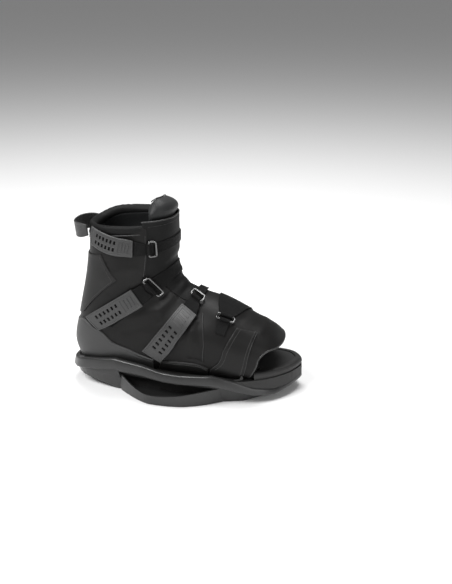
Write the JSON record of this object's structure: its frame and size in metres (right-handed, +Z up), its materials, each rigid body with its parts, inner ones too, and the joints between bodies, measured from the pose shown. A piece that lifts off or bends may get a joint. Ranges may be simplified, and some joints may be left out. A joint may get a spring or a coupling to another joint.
{
  "type": "wakeboard boot binding",
  "caption": "Open-toe wakeboard boot, right foot, with hook-and-loop straps in wire rings, pull loop, toe pad and a moulded chassis with stance slots.",
  "frame": {"origin": "midpoint between the two stance screws, on the board plane under the chassis", "axes": "+X to the toe, +Y to the inner side of the right foot, +Z up"},
  "size_m": [0.3251, 0.1778, 0.2754],
  "materials": {
    "chassis_plastic": "satin moulded nylon",
    "grip_rubber": "matt",
    "screw_steel": "brushed",
    "midsole_foam": "matt foam",
    "footbed_foam": "matt foam",
    "lining_fabric": "knitted lining",
    "upper_leather": "matt synthetic leather",
    "gusset_fabric": "woven stretch fabric",
    "band_leather": "satin synthetic leather",
    "counter_plastic": "satin moulded",
    "ring_steel": "satin wire",
    "spine_leather": "smooth synthetic leather",
    "wrap_leather": "matt synthetic leather",
    "collar_fabric": "padded fabric",
    "tongue_fabric": "smooth fabric",
    "tongue_pad": "satin padded fabric",
    "label_fabric": "plain woven label",
    "loop_rubber": "satin",
    "washer_plastic": "moulded",
    "web_fabric": "woven webbing",
    "plate_plastic": "satin moulded strap end"
  },
  "bodies": {
    "boot": {"chassis": "chassis_plastic", "sole_grips": "grip_rubber", "sole_screws": "screw_steel", "midsole": "midsole_foam", "footbed": "footbed_foam", "liner": "lining_fabric", "quarter_lateral": "upper_leather", "quarter_medial": "upper_leather", "vamp": "upper_leather", "gusset": "gusset_fabric", "toe_band": "band_leather", "inner_panel": "band_leather", "side_panel": "band_leather", "heel_counter": "counter_plastic", "counter_rivet": "ring_steel", "spine_lateral": "spine_leather", "spine_medial": "spine_leather", "front_wrap": "wrap_leather", "collar_band": "collar_fabric", "loop_anchors": "loop_rubber", "top_tab": "web_fabric", "top_under": "web_fabric", "mid_tab": "web_fabric", "mid_under": "web_fabric", "instep_tab": "web_fabric", "instep_under": "web_fabric", "toe_tab": "web_fabric", "toe_ring": "ring_steel", "toe_strap": "web_fabric"},
    "top_buckle": {"top_ring": "ring_steel"},
    "top_flap": {"top_strap": "web_fabric", "top_plate": "plate_plastic"},
    "mid_buckle": {"mid_ring": "ring_steel"},
    "mid_flap": {"mid_strap": "web_fabric", "mid_plate": "plate_plastic"},
    "instep_buckle": {"instep_ring": "ring_steel"},
    "instep_flap": {"instep_strap": "web_fabric", "instep_plate": "plate_plastic"},
    "pull_loop": {"heel_loop": "loop_rubber"},
    "tongue_flap": {"tongue": "tongue_fabric", "tongue_top": "tongue_pad", "tongue_label": "label_fabric"},
    "washer_outer": {"washer_lateral": "washer_plastic"},
    "washer_inner": {"washer_medial": "washer_plastic"}
  },
  "joints": [
    {"name": "top_ring_swivel", "type": "hinge", "parent": "boot", "child": "top_buckle", "pos_m": [-0.01549, -0.04541, 0.21113], "axis": [-0.0363, -0.0569, 0.9977], "range_deg": [0, 15]},
    {"name": "top_strap_peel", "type": "hinge", "parent": "top_buckle", "child": "top_flap", "pos_m": [-0.02395, -0.05039, 0.21114], "axis": [-0.0193, -0.0311, 0.9993], "range_deg": [0, 100]},
    {"name": "mid_ring_swivel", "type": "hinge", "parent": "boot", "child": "mid_buckle", "pos_m": [-0.01717, -0.04308, 0.15868], "axis": [-0.5887, -0.3243, 0.7404], "range_deg": [0, 15]},
    {"name": "mid_strap_peel", "type": "hinge", "parent": "mid_buckle", "child": "mid_flap", "pos_m": [-0.02438, -0.04655, 0.15376], "axis": [-0.6026, -0.2922, 0.7426], "range_deg": [0, 100]},
    {"name": "instep_ring_swivel", "type": "hinge", "parent": "boot", "child": "instep_buckle", "pos_m": [0.03719, -0.01766, 0.14434], "axis": [-0.8548, 0.3505, 0.3827], "range_deg": [0, 15]},
    {"name": "instep_strap_peel", "type": "hinge", "parent": "instep_buckle", "child": "instep_flap", "pos_m": [0.03508, -0.02736, 0.14084], "axis": [-0.8387, 0.3601, 0.4086], "range_deg": [0, 100]},
    {"name": "heel_loop_flop", "type": "hinge", "parent": "boot", "child": "pull_loop", "pos_m": [-0.116, 0, 0.228], "axis": [0, 1, 0], "range_deg": [-6, 20]},
    {"name": "tongue_swing", "type": "hinge", "parent": "boot", "child": "tongue_flap", "pos_m": [0.03, 0, 0.13], "axis": [0, 1, 0], "range_deg": [-8, 0]},
    {"name": "outer_washer_slide", "type": "slide", "parent": "boot", "child": "washer_outer", "axis": [1, 0, 0], "range_m": [-0.007, 0.007]},
    {"name": "inner_washer_slide", "type": "slide", "parent": "boot", "child": "washer_inner", "axis": [1, 0, 0], "range_m": [-0.007, 0.007]}
  ],
  "couplings": [
    {"joint": "inner_washer_slide", "follows": "outer_washer_slide", "ratio": -1}
  ]
}
